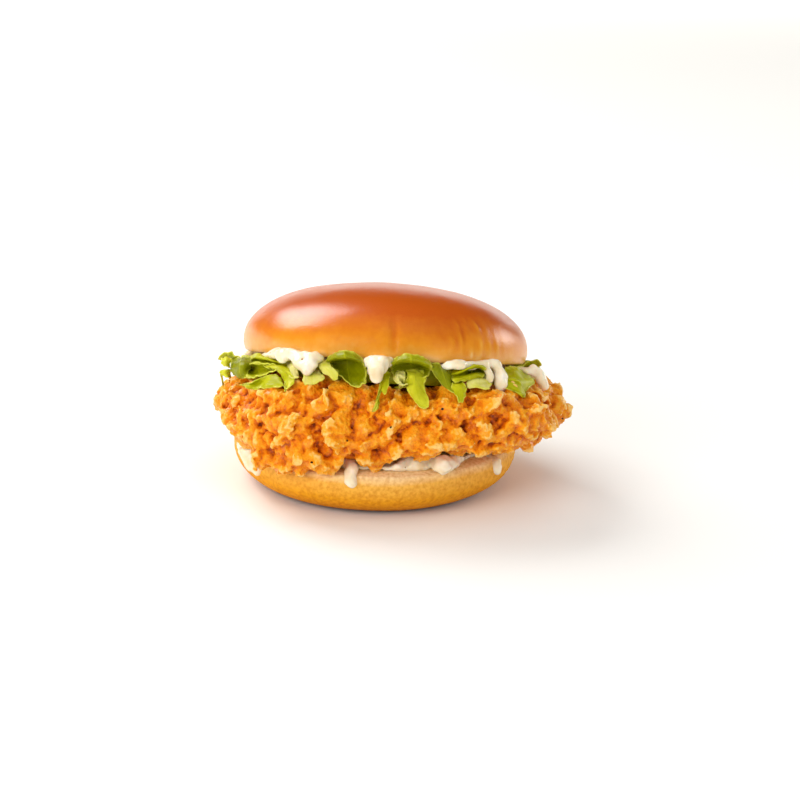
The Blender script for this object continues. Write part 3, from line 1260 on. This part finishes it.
def sauce_piece(name, beads, disc_sizes):
    radius, low, high, place_by, seed = disc_sizes
    bm = bmesh.new()
    disc(bm, radius, low, high, place_by, seed, 48)
    for centre, size in beads:
        grown = bmesh.ops.create_icosphere(bm, subdivisions=2, radius=size)["verts"]
        bmesh.ops.translate(bm, verts=grown, vec=centre)
    obj = fused(piece_from(bm, name), SAUCE_VOXEL)
    softened(obj, 6)
    spots = points_of(obj.data)
    ripples = 0.55 * MM * noise_at(spots, 2.2 * MM, 3.0) + 0.60 * MM * noise_at(spots, 4.6 * MM, 7.0)
    set_points(obj.data, spots + normals_of(obj.data) * ripples[:, None])
    return thinned(obj, SAUCE_TRIANGLES)


# %% [markdown]
# Sauce on the heel
#
# Each run is a line of spots. Those that the camera sees are picked where they are seen, in pixels, with their
# half width in millimetres. The others are given by angle from the front, distance from the bun's middle,
# height and half width, in degrees and millimetres. They start on the cut face and hang over the heel's side.

# %% Lower runs
SEEN_LOWER_RUNS = (
    ((243, 444, 2.6), (247, 453, 3.2), (252, 463, 3.2), (257, 469.5, 2.6)),
    ((250, 444, 2.4), (254, 454, 2.2), (258, 463, 2.0)),
    ((344, 461, 1.7), (352, 461, 2.4), (362, 461.5, 1.9)),
    ((351, 462, 2.6), (351, 472, 2.5), (351, 482, 2.5)),
    ((394, 467, 1.5), (402, 461, 3.2), (410, 464, 3.6), (418, 461, 3.1),
     (427, 462, 3.1), (436, 467, 3.5), (445, 463, 2.7), (450, 460, 1.8)),
    ((496, 463, 2.3), (496, 468, 2.6)),
)
OTHER_LOWER_RUNS = (
    ((112, 48, 18, 2.0), (116, 51.5, 16.6, 2.2), (124, 52.4, 15, 2.2)),
    ((148, 48, 18, 2.0), (150, 52.4, 13, 2.3)),
    ((160, 49, 18, 1.8), (172, 52, 16.2, 2.2)),
    ((200, 49, 18, 2.0), (206, 52, 16, 2.4), (212, 52.3, 15, 2.2)),
    ((246, 49, 18, 2.0), (250, 52.4, 13, 2.3)),
)
CUT_FACE_TO = 49.5 * MM
UNDER_CRUST_TO = 47.0 * MM
OUT_FROM_UNDER = 4.8 * MM
UP_FROM_CUT = 1.5 * MM
heel_tree = tree_of(heel)


def round_heel(azimuth_deg, reach_mm, height_mm):
    a = math.radians(azimuth_deg)
    return Vector((reach_mm * math.sin(a), -reach_mm * math.cos(a), height_mm)) * MM


def on_heel(across, down, half_width_mm):
    """The heel's place seen at a pixel. Far in on the cut face, it's moved out from under the crust."""
    ray = sight(across, down)
    cut = EYE + ray * ((HEEL_HEIGHT - EYE.z) / ray.z)
    reach = math.hypot(cut.x, cut.y)
    if reach > CUT_FACE_TO:
        return heel_tree.ray_cast(EYE, ray)[0]
    cut.z += 0.25 * half_width_mm * MM
    if reach < UNDER_CRUST_TO:
        cut += Vector((cut.x, cut.y, 0)).normalized() * OUT_FROM_UNDER
        cut.z += UP_FROM_CUT
    return cut


def root_on_cut(place):
    """Where a run of sauce starts, well inside the cut face."""
    flat = Vector((place.x, place.y, 0))
    return flat.normalized() * min(42 * MM, flat.length - 8 * MM) + Vector((0, 0, 18.2 * MM))


lower_runs = [[(on_heel(x, y, size), size * MM) for x, y, size in run] for run in SEEN_LOWER_RUNS]
lower_runs += [[(round_heel(a, r, h), size * MM) for a, r, h, size in run] for run in OTHER_LOWER_RUNS]
lower_beads = []
for run in lower_runs:
    lower_beads += bead_line([(root_on_cut(run[0][0]), 1.2 * MM), *run])
slab_below = (46 * MM, HEEL_HEIGHT + 0.1 * MM, HEEL_HEIGHT + 1.6 * MM, Matrix.Identity(4), 3.0)
lower_sauce = sauce_piece("cream_sauce_below", lower_beads, slab_below)

# %% [markdown]
# Sauce under the crown
#
# These runs come out between crown and lettuce, and the thick ones sag over the leaves. Those at the front are
# given as the leaves are, by where they are seen and their distance from the crown's axis. Those of the sides
# and back are given by angle, distance and height. The last number is the half width, in millimetres.

# %% Upper runs
SEEN_UPPER_RUNS = (
    ((263, 357, 53, 1.2), (272, 355, 54, 1.9), (281, 354, 54.5, 2.5), (290, 354, 54.5, 2.3),
     (300, 357, 54.5, 2.4), (313, 358, 54.5, 2.2), (320, 358, 53.5, 1.3)),
    ((281, 355, 54.5, 2.6), (283, 359.5, 56.5, 1.8)),
    ((298, 357, 54.5, 2.8), (302, 362, 56.5, 3.0), (305.5, 368, 58.5, 2.4)),
    ((312, 358, 54.5, 2.6), (310, 364, 57, 2.8), (307, 370, 59, 2.4)),
    ((368, 362, 53, 2.0), (373, 362.5, 54.5, 2.6), (383, 363, 54.5, 2.6), (389, 362.5, 53, 1.9)),
    ((373.5, 363, 55, 2.9), (375.5, 369, 57.5, 3.0), (376.8, 375, 59.5, 2.5)),
    ((382.5, 363, 55, 2.8), (380, 369, 57.5, 2.8), (378, 375, 59.5, 2.4)),
    ((444, 366.5, 53, 1.1), (452, 365.5, 54, 1.7), (460, 364.5, 54.3, 2.1), (468, 365.5, 54, 1.6),
     (476, 365, 54, 1.4), (486, 363.5, 54.5, 1.6), (497, 365, 55, 2.0)),
    ((484, 366, 55, 1.6), (489, 372, 57, 1.6), (490, 380, 58.6, 1.5)),
    ((496, 366, 55, 2.3), (500, 372, 57.5, 2.3), (501.5, 380, 59.3, 2.5), (501.5, 385.5, 60, 2.6)),
    ((526, 371, 56, 1.4), (533, 370, 58, 2.0), (539, 374.5, 60, 2.2), (542.5, 381, 62, 2.0), (544.5, 386, 63, 1.9)),
)
OTHER_UPPER_RUNS = (
    ((112, 51, 38.5, 1.6), (118, 53, 36, 2.0), (124, 53, 34.5, 2.0)),
    ((140, 51.5, 31.5, 2.2), (140, 54.5, 26, 2.6)),
    ((168, 51, 29, 1.8), (177, 52, 28, 2.0), (186, 52, 28, 2.0)), ((184, 51, 28.5, 2.2), (184, 54, 25, 2.6)),
    ((220, 51, 32.5, 2.0), (228, 53.5, 31.5, 2.4)), ((258, 51, 39.5, 2.0), (262, 53.5, 38.5, 2.4)),
)


def root_under_crown(place):
    """Where a run of sauce starts, inside the gap under the crown."""
    aside = Vector((place.x - CROWN_MIDDLE.x, place.y - CROWN_MIDDLE.y, 0)).normalized() * 43 * MM
    return CROWN_PLACE @ (aside + Vector((0, 0, -1.2 * MM)))


upper_runs = [[(seen_place(x, y, r), size * MM) for x, y, r, size in run] for run in SEEN_UPPER_RUNS]
upper_runs += [[(round_crown(a, r, h), size * MM) for a, r, h, size in run] for run in OTHER_UPPER_RUNS]
upper_beads = []
for run in upper_runs:
    upper_beads += bead_line([(root_under_crown(run[0][0]), 1.1 * MM), run[0]]) + bead_line(run, crust_tree)
upper_sauce = sauce_piece(
    "cream_sauce_above", upper_beads, (44.5 * MM, -1.9 * MM, -0.45 * MM, CROWN_PLACE, 5.0)
)

# %% [markdown]
# Cream sauce as a material
#
# Mayonnaise with a little seasoning: off-white, opaque, and wet enough for sharp highlights. Light scatters
# in it, which subsurface gives, and a few faint specks show the seasoning.

# %% Cream sauce material
cream_sauce, tree, shader = new_material(
    "cream mayonnaise sauce", Roughness=0.24, IOR=1.46, Coat_Weight=0.25, Coat_Roughness=0.08
)
shader.inputs["Subsurface Weight"].default_value = 0.5
shader.inputs["Subsurface Radius"].default_value = (1.0, 0.75, 0.45)
shader.inputs["Subsurface Scale"].default_value = 0.002
place = add(tree, "ShaderNodeTexCoord")
cells = add(tree, "ShaderNodeTexVoronoi", {"Vector": place.outputs["Object"], "Scale": 420.0})
spot = add(tree, "ShaderNodeMath", {0: cells.outputs["Distance"], 1: 0.16}, operation="LESS_THAN")
pick = add(tree, "ShaderNodeSeparateColor", {0: cells.outputs["Color"]})
rare = add(tree, "ShaderNodeMath", {0: pick.outputs[0], 1: 0.90}, operation="GREATER_THAN")
speck = add(tree, "ShaderNodeMath", {0: spot.outputs[0], 1: rare.outputs[0]}, operation="MULTIPLY")
swirl = add(tree, "ShaderNodeTexNoise", {"Vector": place.outputs["Object"], "Scale": 140.0, "Detail": 3.0})
cream = add(
    tree, "ShaderNodeValToRGB", {"Fac": swirl.outputs["Fac"]},
    stops=((0.30, "#e2cda2"), (0.50, "#f0e3c6"), (0.70, "#f8f0e0"))
)
seasoned = add(
    tree, "ShaderNodeMix", {0: speck.outputs[0], 6: cream.outputs["Color"], 7: colour("#a8793f")},
    data_type="RGBA"
)
tree.links.new(seasoned.outputs[2], shader.inputs["Base Color"])
bump = add(tree, "ShaderNodeBump", {"Strength": 0.12, "Distance": 0.0005, "Height": swirl.outputs["Fac"]})
tree.links.new(bump.outputs["Normal"], shader.inputs["Normal"])
finished(lower_sauce, cream_sauce, "creamy_sauce", "sauce_lower")
finished(upper_sauce, cream_sauce, "creamy_sauce", "sauce_upper")
